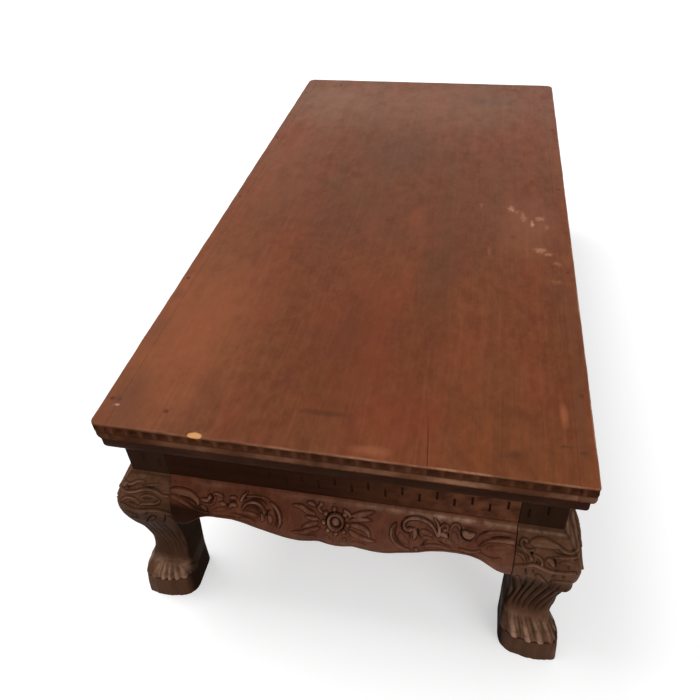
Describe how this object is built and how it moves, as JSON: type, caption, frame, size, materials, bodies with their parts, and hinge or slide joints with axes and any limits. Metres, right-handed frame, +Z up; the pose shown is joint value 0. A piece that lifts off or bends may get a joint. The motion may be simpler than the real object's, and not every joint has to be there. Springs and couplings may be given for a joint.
{
  "type": "kang table",
  "caption": "Low rectangular wooden table with a moulded top, a sunk waist with slots, carved bulging aprons and cabriole legs on paw feet.",
  "frame": {"origin": "on the floor, under the middle of the top", "axes": "+X across the top, +Y along the top away from the front end, +Z up"},
  "size_m": [0.485, 0.92, 0.305],
  "materials": {
    "top_wood": "old thin lacquer, worn satin, reddish brown",
    "moulding_wood": "dark brown stain, worn olive brown on the high edges",
    "waist_wood": "very dark brown stain, dull",
    "carved_wood": "dark reddish brown stain, satin, rubbed on the carving",
    "hidden_wood": "bare planed wood, dull",
    "iron": "dark, rusted"
  },
  "bodies": {
    "root": {"top_plank": "top_wood", "top_strip_right": "top_wood", "top_strip_left": "top_wood", "moulding_rail_front": "moulding_wood", "waist_board_front": "waist_wood", "apron_front": "carved_wood", "moulding_rail_right": "moulding_wood", "waist_board_right": "waist_wood", "apron_right": "carved_wood", "moulding_rail_back": "moulding_wood", "waist_board_back": "waist_wood", "apron_back": "carved_wood", "moulding_rail_left": "moulding_wood", "waist_board_left": "waist_wood", "apron_left": "carved_wood", "batten_front": "hidden_wood", "batten_middle": "hidden_wood", "batten_back": "hidden_wood", "leg_front_left": "carved_wood", "joint_pegs_front_left": "hidden_wood", "leg_front_right": "carved_wood", "joint_pegs_front_right": "hidden_wood", "leg_back_right": "carved_wood", "joint_pegs_back_right": "hidden_wood", "leg_back_left": "carved_wood", "joint_pegs_back_left": "hidden_wood", "strip_nails_right": "iron", "strip_nails_left": "iron", "end_nails_front": "iron", "end_nails_back": "iron"}
  },
  "joints": []
}
